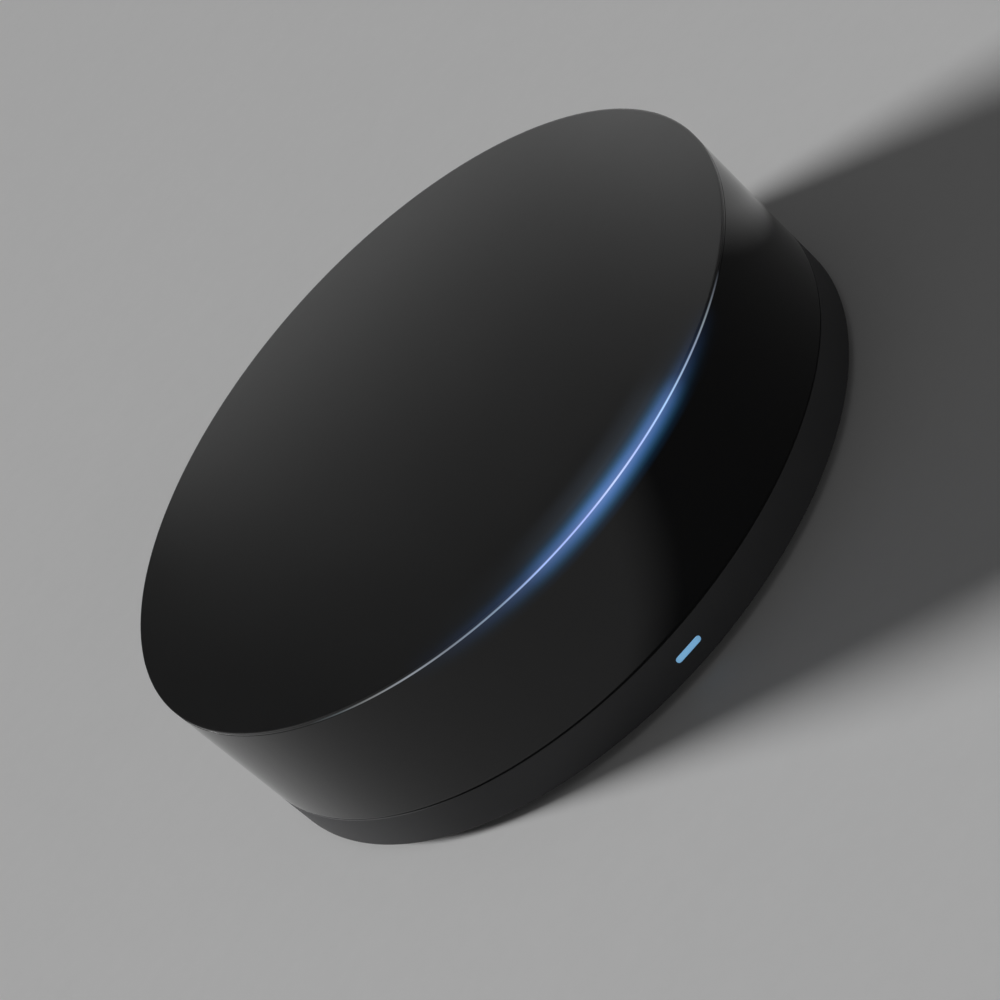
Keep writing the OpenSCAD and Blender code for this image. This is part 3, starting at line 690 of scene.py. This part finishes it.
CONTACTS = 5
CONTACT_PITCH = 0.65
CONTACT_W = 0.3
CONTACT_H = 0.1
CONTACT_ROUND = 0.04
CONTACT_L = 2.9
CONTACT_Y = 48.9
CONTACT_Z = 4.975
CONTACT_TIP = (0.7, 0.6)


def make_contacts():
    """Plated strips under the tongue, each narrower and thinner at its tip."""
    strip = rounded_bar("contact", CONTACT_W, CONTACT_H, CONTACT_ROUND, CONTACT_L, 0, CONTACT_Y, CONTACT_Z,
                        steps=2)
    pick(strip, lambda v: v.co.y > (CONTACT_Y + CONTACT_L / 2) * MM)
    bpy.ops.transform.resize(value=(CONTACT_TIP[0], 1, CONTACT_TIP[1]))
    bpy.ops.object.mode_set(mode="OBJECT")
    strips = []
    for i in range(CONTACTS):
        copy = twin(strip, "contact_%d" % (i + 1))
        copy.matrix_world = Matrix.Translation(((i - (CONTACTS - 1) / 2) * CONTACT_PITCH * MM, 0, 0))
        strips.append(fix(copy))
    bpy.data.objects.remove(strip)
    return soften(join(strips, "socket_contacts"))


STEM_W = 1.9
STEM_ROUND = 0.12
STEM_L = 2.1
NOSE_OUT = 0.01
COLLAR_W = 2.8
COLLAR_ROUND = 0.08
COLLAR_L = 0.6
PLUNGER_H = 1.0


def make_plunger():
    """The reset switch's plunger: a collar inside the switch and a rounded nose towards the reset hole."""
    back = (RESET_X, PLUNGER_BACK_Y, RESET_Z)
    stem = rounded_bar("reset_nose", STEM_W, PLUNGER_H, STEM_ROUND, STEM_L, *back, steps=3)
    pick(stem, lambda f: f.normal.y > FACING, "FACE")
    bpy.ops.mesh.inset(thickness=STEM_ROUND * MM)
    bpy.ops.transform.translate(value=(0, NOSE_OUT * MM, 0))
    collar = rounded_bar("collar", COLLAR_W, PLUNGER_H, COLLAR_ROUND, COLLAR_L, *back, steps=2)
    return soften(combine(stem, [collar], "UNION"))


# ---------------------------------------------------------------- pieces on their bodies

dressed = []


def add_piece(piece, node, slot, body="hub"):
    """Puts a finished piece on its body in the place of a CAD node, with the record's material slot."""
    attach(piece, body)
    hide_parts(node)
    dressed.append((piece, slot))


add_piece(make_lid(), "top_cover", "lid_plastic")
add_piece(make_band(), "ir_window_band", "band_plastic")
add_piece(make_base(), "base_shell", "base_plastic")
add_piece(join([make_ring()] + [make_leg(azimuth) for azimuth in LEG_AZIMUTHS], "light_ring"),
          "light_guide_ring", "light_guide")
add_piece(make_foot(), "foot_ring", "foot_rubber")
add_piece(make_status_light(), "status_window", "status_guide")
add_piece(make_socket_shell(), "usb_shell", "sheet_steel")
add_piece(make_socket_insert(), "usb_insert", "black_moulding")
add_piece(make_contacts(), "usb_contacts", "contact_gold")
add_piece(make_plunger(), "reset_plunger", "plunger_plastic", "reset_button")
add_piece(make_case_fixings(), "case_screws", "screw_steel")
add_piece(make_board_fixings(), "board_screws", "screw_steel")


# ---------------------------------------------------------------- floor and lamps

FLOOR_SIZE = 30


def make_floor():
    """A plain floor that is wide enough to fill every view."""
    deselect()
    bpy.ops.mesh.primitive_plane_add(size=FLOOR_SIZE)
    floor = bpy.context.object
    floor.name = "floor"
    return floor


def hang(lamp_data, azimuth, elevation, distance=0.0):
    """Hangs a lamp that looks at the object. Azimuth is from the front, towards +X."""
    a, e = radians(azimuth), radians(elevation)
    back = Vector((sin(a) * cos(e), -cos(a) * cos(e), sin(e)))
    lamp = bpy.data.objects.new(lamp_data.name, lamp_data)
    lamp.location = back * distance
    lamp.rotation_mode = "QUATERNION"
    lamp.rotation_quaternion = back.to_track_quat("Z", "Y")
    bpy.context.scene.collection.objects.link(lamp)
    return lamp


def softbox(name, azimuth, elevation, distance, width, height, power):
    """A soft panel of light near the object."""
    data = bpy.data.lights.new(name, "AREA")
    data.shape = "RECTANGLE"
    data.size, data.size_y = width, height
    data.energy = power
    return hang(data, azimuth, elevation, distance)


def far_light(name, azimuth, elevation, strength, spread):
    """A broad even light from far away, which lights the whole floor alike and leaves a soft shadow."""
    data = bpy.data.lights.new(name, "SUN")
    data.energy = strength
    data.angle = radians(spread)
    return hang(data, azimuth, elevation)


def spare(lamp, stage_piece):
    """Keeps a near lamp's pool of light off the floor, so that the floor stays plain."""
    spared = bpy.data.collections.new(lamp.name + "_spares")
    spared.objects.link(stage_piece)
    spared.collection_objects[0].light_linking.link_state = "EXCLUDE"
    lamp.light_linking.receiver_collection = spared


floor = make_floor()
far_light("key_lamp", azimuth=-131, elevation=20, strength=3.4, spread=15)
back_lamp = softbox("back_lamp", azimuth=158, elevation=18, distance=0.32, width=0.38, height=0.07,
                    power=0.096)
corner_lamp = softbox("corner_lamp", azimuth=148, elevation=28, distance=0.32, width=0.16, height=0.08,
                      power=0.042)
softbox("front_lamp", azimuth=20, elevation=13, distance=1.2, width=1.4, height=0.46, power=1.4)
spare(back_lamp, floor)
spare(corner_lamp, floor)


# ---------------------------------------------------------------- shared effects

class Nodes:
    """Short ways to add nodes and links to one tree."""

    def __init__(self, tree):
        self.tree = tree

    def add(self, kind, **settings):
        node = self.tree.nodes.new(kind)
        for key, value in settings.items():
            setattr(node, key, value)
        return node

    def feed(self, socket, value):
        """Links a socket to another one, or sets it to a plain value."""
        if isinstance(value, bpy.types.NodeSocket):
            self.tree.links.new(value, socket)
        else:
            socket.default_value = value

    def math(self, operation, *values, clamp=False):
        node = self.add("ShaderNodeMath", operation=operation, use_clamp=clamp)
        for socket, value in zip(node.inputs, values):
            self.feed(socket, value)
        return node.outputs[0]

    def noise(self, vector, scale, detail):
        node = self.add("ShaderNodeTexNoise")
        self.feed(node.inputs["Vector"], vector)
        self.feed(node.inputs["Scale"], scale)
        self.feed(node.inputs["Detail"], detail)
        return node.outputs["Fac"]

    def spread(self, value, low, high, new_low, new_high):
        """A value that runs from low to high, made to run from new_low to new_high."""
        node = self.add("ShaderNodeMapRange")
        for socket, number in zip(node.inputs, (value, low, high, new_low, new_high)):
            self.feed(socket, number)
        return node.outputs[0]

    def ramp(self, value, stops):
        """Colours along a value, as (place, colour) from low to high."""
        node = self.add("ShaderNodeValToRGB")
        self.feed(node.inputs["Fac"], value)
        ends = node.color_ramp.elements
        while len(ends) < len(stops):
            ends.new(0.5)
        for end, (place, colour) in zip(ends, stops):
            end.position = place
            end.color = (*colour, 1)
        return node.outputs["Color"]

    def tint(self, colour, factor):
        """A colour times a number."""
        node = self.add("ShaderNodeVectorMath", operation="SCALE")
        self.feed(node.inputs[0], colour)
        self.feed(node.inputs["Scale"], factor)
        return node.outputs[0]

    def both(self, colour, other):
        """The sum of two colours."""
        node = self.add("ShaderNodeVectorMath", operation="ADD")
        self.feed(node.inputs[0], colour)
        self.feed(node.inputs[1], other)
        return node.outputs[0]

    def place(self):
        """Where a point of the surface is on its object."""
        return self.add("ShaderNodeTexCoord").outputs["Object"]

    def xyz(self):
        """The three parts of that place."""
        split = self.add("ShaderNodeSeparateXYZ")
        self.feed(split.inputs[0], self.place())
        return split.outputs


def grey(level):
    return (level, level, level)


def new_group(name, takes, gives):
    """A node group whose sockets are given as (label, kind, value where none is linked)."""
    group = bpy.data.node_groups.new(name, "ShaderNodeTree")
    for direction, sockets in (("INPUT", takes), ("OUTPUT", gives)):
        for label, kind, *value in sockets:
            socket = group.interface.new_socket(label, in_out=direction, socket_type="NodeSocket" + kind)
            if value:
                socket.default_value = value[0]
    nodes = Nodes(group)
    return group, nodes, nodes.add("NodeGroupInput").outputs, nodes.add("NodeGroupOutput").inputs


# Noise per metre: broad clouds and smaller patches, and the share of each in the drift
CLOUD_SCALE = 90
PATCH_SCALE = 420
CLOUD_SHARE = 0.6
SPECK_SPREAD = 1.2


def make_grain():
    """Fine moulded or cast texture: the colour and roughness drift a little, and the grain gives a height."""
    group, n, takes, gives = new_group(
        "surface_grain",
        [("Colour", "Color", (0.5, 0.5, 0.5, 1)), ("Roughness", "Float", 0.5), ("Grain Size", "Float", 0.2),
         ("Tone Drift", "Float", 0.1), ("Roughness Drift", "Float", 0.05)],
        [("Colour", "Color"), ("Roughness", "Float"), ("Height", "Float")])
    place = n.place()
    fine = n.noise(place, n.math("DIVIDE", 1 / MM, takes["Grain Size"]), 3)
    cloud = n.math("MULTIPLY", n.noise(place, CLOUD_SCALE, 3), CLOUD_SHARE)
    patch = n.math("MULTIPLY", n.noise(place, PATCH_SCALE, 2), 1 - CLOUD_SHARE)
    drift = n.math("MULTIPLY", n.math("SUBTRACT", n.math("ADD", cloud, patch), 0.5), 2)
    speck = n.math("MULTIPLY", n.math("SUBTRACT", fine, 0.5), SPECK_SPREAD)
    change = n.math("ADD", drift, speck)
    tone = n.math("ADD", 1, n.math("MULTIPLY", change, takes["Tone Drift"]))
    n.feed(gives["Colour"], n.tint(takes["Colour"], tone))
    n.feed(gives["Roughness"],
           n.math("ADD", takes["Roughness"], n.math("MULTIPLY", change, takes["Roughness Drift"])))
    n.feed(gives["Height"], fine)
    return group


# The lit part of the line is a little to the right of the front. Azimuths are from the front, towards +X.
GLOW_START = -60
GLOW_END = 50
LINE_COLOURS = (
    (-48, (0, 0, 0)), (-42, (0.05, 0.06, 0.065)), (-36, (0.145, 0.15, 0.152)), (-29, (0.22, 0.24, 0.27)),
    (-22, (0.16, 0.185, 0.225)), (-13, (0.18, 0.245, 0.34)), (-5, (0.33, 0.46, 0.85)),
    (4, (0.36, 0.46, 0.90)), (10, (0.50, 0.62, 1.0)), (16, (0.40, 0.52, 0.96)), (23, (0.38, 0.59, 0.95)),
    (28, (0.29, 0.41, 0.60)), (33, (0.21, 0.26, 0.36)), (37, (0.19, 0.23, 0.26)), (42, (0.09, 0.10, 0.12)),
    (47, (0, 0, 0)))
# How strongly the painted spill of the line's light shows round the case, by azimuth
SPILL_LEVELS = (
    (-30, 0), (-24, 0.02), (-18, 0.06), (-13, 0.12), (-8, 0.26), (-4, 0.53), (0, 0.68), (4, 0.9), (8, 1),
    (12, 0.94), (16, 0.84), (20, 0.78), (24, 0.6), (28, 0.19), (32, 0.08), (36, 0.03), (41, 0))
# Colours of the line's light, painted on the lid and the band as their own glow, from the line outwards, as
# shares of its full reach
SPILL_COLOURS = (
    (0, (0.11, 0.205, 0.47)), (0.12, (0.08, 0.18, 0.43)), (0.25, (0.046, 0.135, 0.33)),
    (0.4, (0.025, 0.085, 0.19)), (0.55, (0.009, 0.042, 0.088)), (0.72, (0.002, 0.012, 0.028)), (1, (0, 0, 0)))
SPILL_REACHES = 2.2
# A faint painted glow, a haze of the line's light, that reaches further in over the lid
GLOW_HAZE_REACH = 8.6
GLOW_HAZE_COLOURS = (
    (0, (0, 0, 0)), (0.25, (0.006, 0.005, 0.003)), (0.45, (0.017, 0.022, 0.028)),
    (0.7, (0.0085, 0.0115, 0.016)), (1, (0, 0, 0)))


def by_azimuth(n, stops):
    """A ramp of colours round the case, along the azimuth."""
    x, y = n.xyz()[:2]
    azimuth = n.math("DEGREES", n.math("ARCTAN2", x, n.math("MULTIPLY", y, -1)))
    return n.ramp(n.spread(azimuth, GLOW_START, GLOW_END, 0, 1),
                  [((a - GLOW_START) / (GLOW_END - GLOW_START), colour) for a, colour in stops])


def make_light_spill():
    """Painted light: a glow of the surface's own that stands in for the light the glowing line throws on the
    edges beside it, and fades with the distance.
    """
    group, n, takes, gives = new_group(
        "light_spill", [("Reach", "Float", 2.0), ("Level", "Float", 1.0), ("Haze", "Float", 0.0)],
        [("Colour", "Color")])
    x, y, z = n.xyz()
    radius = n.math("SQRT", n.math("ADD", n.math("MULTIPLY", x, x), n.math("MULTIPLY", y, y)))
    above = n.math("SUBTRACT", z, LID_Z * MM)
    below = n.math("SUBTRACT", BAND_TOP_Z * MM, z)
    off = n.math("MAXIMUM", n.math("MAXIMUM", above, below), 0)
    inward = n.math("MAXIMUM", n.math("SUBTRACT", CASE_R * MM, radius), 0)
    distance = n.math("DIVIDE", n.math("ADD", off, inward), MM)
    share = n.math("DIVIDE", distance, n.math("MULTIPLY", takes["Reach"], SPILL_REACHES), clamp=True)
    spill = n.tint(n.ramp(share, SPILL_COLOURS), takes["Level"])
    glow_haze = n.tint(n.ramp(n.math("DIVIDE", distance, GLOW_HAZE_REACH), GLOW_HAZE_COLOURS), takes["Haze"])
    fade = by_azimuth(n, [(a, grey(level)) for a, level in SPILL_LEVELS])
    n.feed(gives["Colour"], n.tint(n.both(spill, glow_haze), fade))
    return group


grain = make_grain()
light_spill = make_light_spill()


# ---------------------------------------------------------------- finishes

finishes = {}


def finish(slot, colour, roughness, grain_size, depth, tone=0.1, drift=0.05, metallic=0.0, **sockets):
    """A material with the shared grain, sized in millimetres. Other named sockets are set as they are."""
    m = bpy.data.materials.new(slot)
    m.use_nodes = True
    n = Nodes(m.node_tree)
    shader = m.node_tree.nodes["Principled BSDF"]
    shader.inputs["Metallic"].default_value = metallic
    for label, value in sockets.items():
        shader.inputs[label.replace("_", " ")].default_value = value
    texture = n.add("ShaderNodeGroup", node_tree=grain)
    for label, value in (("Colour", (*colour, 1)), ("Roughness", roughness), ("Grain Size", grain_size),
                         ("Tone Drift", tone), ("Roughness Drift", drift)):
        texture.inputs[label].default_value = value
    bump = n.add("ShaderNodeBump")
    bump.inputs["Distance"].default_value = depth * MM
    n.feed(bump.inputs["Height"], texture.outputs["Height"])
    n.feed(shader.inputs["Base Color"], texture.outputs["Colour"])
    n.feed(shader.inputs["Roughness"], texture.outputs["Roughness"])
    n.feed(shader.inputs["Normal"], bump.outputs["Normal"])
    finishes[slot] = m
    return n, shader


def glow(n, shader, colour):
    """Gives a finish a light of its own."""
    n.feed(shader.inputs["Emission Color"], colour)
    shader.inputs["Emission Strength"].default_value = 1


def add_spill(n, shader, reach, level, glow_haze):
    """Paints on a finish, as its own glow, the light that the glowing line throws on it. The reach is in
    millimetres.
    """
    spill = n.add("ShaderNodeGroup", node_tree=light_spill)
    for label, value in (("Reach", reach), ("Level", level), ("Haze", glow_haze)):
        spill.inputs[label].default_value = value
    glow(n, shader, spill.outputs["Colour"])


# The lid and the band get the line's light painted on them as a glow of their own
n, shader = finish("lid_plastic", (0.007, 0.007, 0.0073), 0.33, 0.16, 0.001, 0.12, 0.03, IOR=1.45)
add_spill(n, shader, reach=2.1, level=0.95, glow_haze=0.95)
n, shader = finish("band_plastic", (0.0012, 0.0012, 0.0016), 0.035, 0.9, 0.0001, 0.3, 0.012, IOR=1.49)
add_spill(n, shader, reach=1.35, level=0.95, glow_haze=0)
finish("base_plastic", (0.055, 0.055, 0.057), 0.6, 0.16, 0.002, 0.12, 0.04, Specular_IOR_Level=0.2)

# The line glows most in the middle of its height
LINE_CORE = 1.25
LINE_FALL = 0.95
n, shader = finish("light_guide", (0.004, 0.004, 0.005), 0.1, 0.4, 0.0003, IOR=1.49)
off_middle = n.math("DIVIDE", n.math("SUBTRACT", n.xyz()[2], 0.5 * (BAND_TOP_Z + LID_Z) * MM),
                    0.5 * (LID_Z - BAND_TOP_Z) * MM)
fall = n.math("MULTIPLY", n.math("MULTIPLY", off_middle, off_middle), LINE_FALL)
core = n.math("MAXIMUM", n.math("SUBTRACT", LINE_CORE, fall), 0)
glow(n, shader, n.tint(by_azimuth(n, LINE_COLOURS), core))

# The status light is even, and a little weaker towards its two ends
STATUS_COLOUR = (0.10, 0.27, 0.46)
STATUS_EVEN_X = 1.4
STATUS_END_X = 2.3
STATUS_END_LEVEL = 0.82
n, shader = finish("status_guide", (0.45, 0.66, 0.84), 0.35, 0.2, 0.001)
lit = n.spread(n.math("ABSOLUTE", n.xyz()[0]), STATUS_EVEN_X * MM, STATUS_END_X * MM, 1, STATUS_END_LEVEL)
glow(n, shader, n.tint(STATUS_COLOUR, lit))

# Colour, roughness, grain size and depth in millimetres, and how far the tone and the roughness drift
PLAIN_FINISHES = {
    "foot_rubber": ((0.018, 0.018, 0.018), 0.75, 0.3, 0.01, 0.2, 0.08),
    "emitter_epoxy": ((0.03, 0.03, 0.06), 0.08, 2, 0.001, 0.1, 0.03),
    "dark_epoxy": ((0.01, 0.01, 0.012), 0.12, 2, 0.001, 0.1, 0.03),
    "led_white": ((0.8, 0.78, 0.68), 0.4, 0.2, 0.002, 0.08),
    "black_moulding": ((0.02, 0.02, 0.02), 0.45, 0.15, 0.003, 0.15),
    "plunger_plastic": ((0.5, 0.33, 0.09), 0.45, 0.2, 0.002, 0.1),
    "chip_epoxy": ((0.025, 0.025, 0.027), 0.55, 0.1, 0.004, 0.2),
    "pale_ceramic": ((0.72, 0.75, 0.75), 0.2, 0.5, 0.001, 0.05),
    "ferrite": ((0.06, 0.06, 0.062), 0.6, 0.15, 0.006, 0.25),
    "resistor_black": ((0.02, 0.02, 0.024), 0.2, 0.4, 0.001, 0.2),
    "tan_ceramic": ((0.42, 0.28, 0.16), 0.3, 0.3, 0.002, 0.15),
}
METAL_FINISHES = {
    "screw_steel": ((0.55, 0.55, 0.56), 0.32, 0.4, 0.001, 0.12, 0.1),
    "sheet_steel": ((0.66, 0.66, 0.67), 0.28, 0.5, 0.001, 0.1, 0.1),
    "contact_gold": ((0.9, 0.62, 0.25), 0.25, 0.3, 0.001, 0.08, 0.08),
    "can_aluminium": ((0.75, 0.75, 0.76), 0.35, 0.3, 0.001, 0.06, 0.08),
}
for slot, row in PLAIN_FINISHES.items():
    finish(slot, *row)
for slot, row in METAL_FINISHES.items():
    finish(slot, *row, metallic=1.0)

# Rows of copper tracks, as shares of their pitch
TRACK_GAP = 0.06
TRACK_LENGTH = 2.6
TRACK_ROW = 0.8


def finish_board(slot, mask, track, pitch):
    """Solder mask over copper tracks that run along the board's two directions."""
    n, shader = finish(slot, mask, roughness=0.28, grain_size=0.3, depth=0.001, tone=0.08, drift=0.04)
    wires = n.add("ShaderNodeTexBrick", offset=0.5, squash=1.0)
    n.feed(wires.inputs["Vector"], n.place())
    for label, value in (("Scale", 1 / (pitch * MM)), ("Mortar Size", TRACK_GAP),
                         ("Brick Width", TRACK_LENGTH), ("Row Height", TRACK_ROW)):
        wires.inputs[label].default_value = value
    masked = shader.inputs["Base Color"].links[0].from_socket
    mix = n.add("ShaderNodeMix", data_type="RGBA")
    n.feed(mix.inputs["Factor"], wires.outputs["Fac"])
    n.feed(mix.inputs[6], masked)
    n.feed(mix.inputs[7], (*track, 1))
    n.feed(shader.inputs["Base Color"], mix.outputs[2])


finish_board("circuit_board", (0.012, 0.05, 0.022), (0.03, 0.11, 0.045), 1.6)
finish_board("module_board", (0.01, 0.018, 0.045), (0.02, 0.04, 0.09), 1.2)
finish("pale_floor", (0.8, 0.8, 0.8), 0.75, 3.0, 0.01, 0.02, 0.02, Specular_IOR_Level=0.2)


def wear(thing, slot):
    """Gives an object its finish in place of any other."""
    thing.data.materials.clear()
    thing.data.materials.append(finishes[slot])


slot_of = {row["node"]: row["material_slot"] for row in frame["record"]["subparts"]}
for name, node in frame["nodes"].items():
    if not node.hide_render:
        wear(node, slot_of[name])
for piece, slot in dressed:
    wear(piece, slot)
wear(floor, "pale_floor")


# ---------------------------------------------------------------- background and hand-over

# The studio round the floor is dark at the sides and softly lit overhead, by the height of the direction
SKY_GREYS = ((0, 0.01), (0.55, 0.015), (0.8, 0.055), (1, 0.2))


def light_studio():
    """Gives the studio round the floor its plain grey."""
    world = bpy.data.worlds.new("studio")
    bpy.context.scene.world = world
    world.use_nodes = True
    n = Nodes(world.node_tree)
    direction = n.add("ShaderNodeSeparateXYZ")
    n.feed(direction.inputs[0], n.add("ShaderNodeTexCoord").outputs["Generated"])
    n.feed(world.node_tree.nodes["Background"].inputs["Color"],
           n.ramp(direction.outputs["Z"], [(height, grey(level)) for height, level in SKY_GREYS]))


light_studio()
bpy.context.scene.view_settings.view_transform = "Standard"
